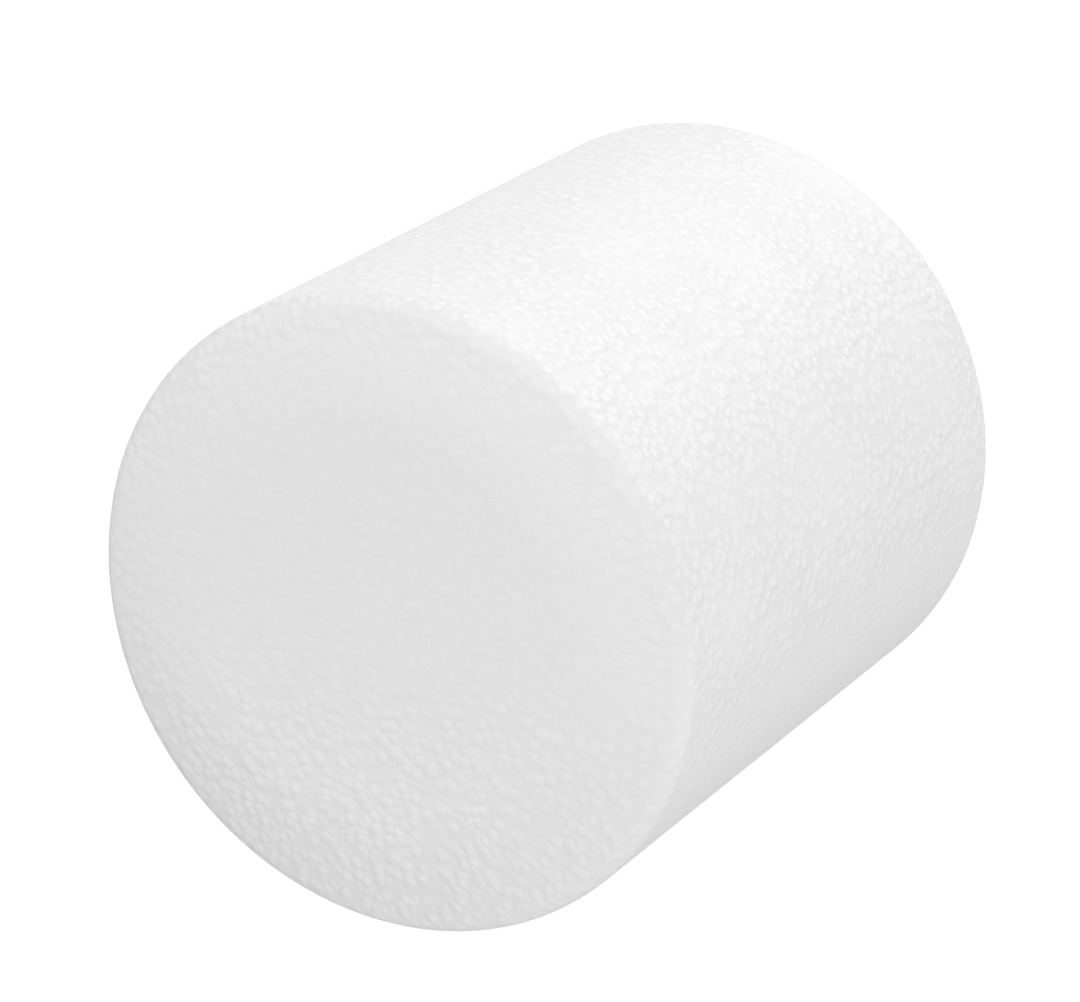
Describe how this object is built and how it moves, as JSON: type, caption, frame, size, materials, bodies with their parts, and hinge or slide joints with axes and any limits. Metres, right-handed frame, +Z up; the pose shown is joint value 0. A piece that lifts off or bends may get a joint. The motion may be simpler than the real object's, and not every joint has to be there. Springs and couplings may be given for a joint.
{
  "type": "foam roller",
  "caption": "Short solid foam roller: a log of closed-cell foam with a fine pebbled skin, nearly flat ends and soft rounded rims, lying on its side.",
  "frame": {"origin": "bottom centre of the roller as it lies on its side: on the line where it touches the floor, halfway between the two ends", "axes": "+Z up; +Y along the roller's own axis, from the front end (at -Y) to the rear end; +X to the right when looking at the front end"},
  "size_m": [0.1524, 0.175, 0.1524],
  "materials": {
    "foam_skin": "closed-cell foam skin, white, matte with a faint satin sheen and a fine pebble grain",
    "foam_core": "open-looking cut closed-cell foam, white, fully matte"
  },
  "bodies": {
    "root": {"foam_core": "foam_core", "side_skin": "foam_skin", "front_end_skin": "foam_skin", "rear_end_skin": "foam_skin"}
  },
  "joints": []
}
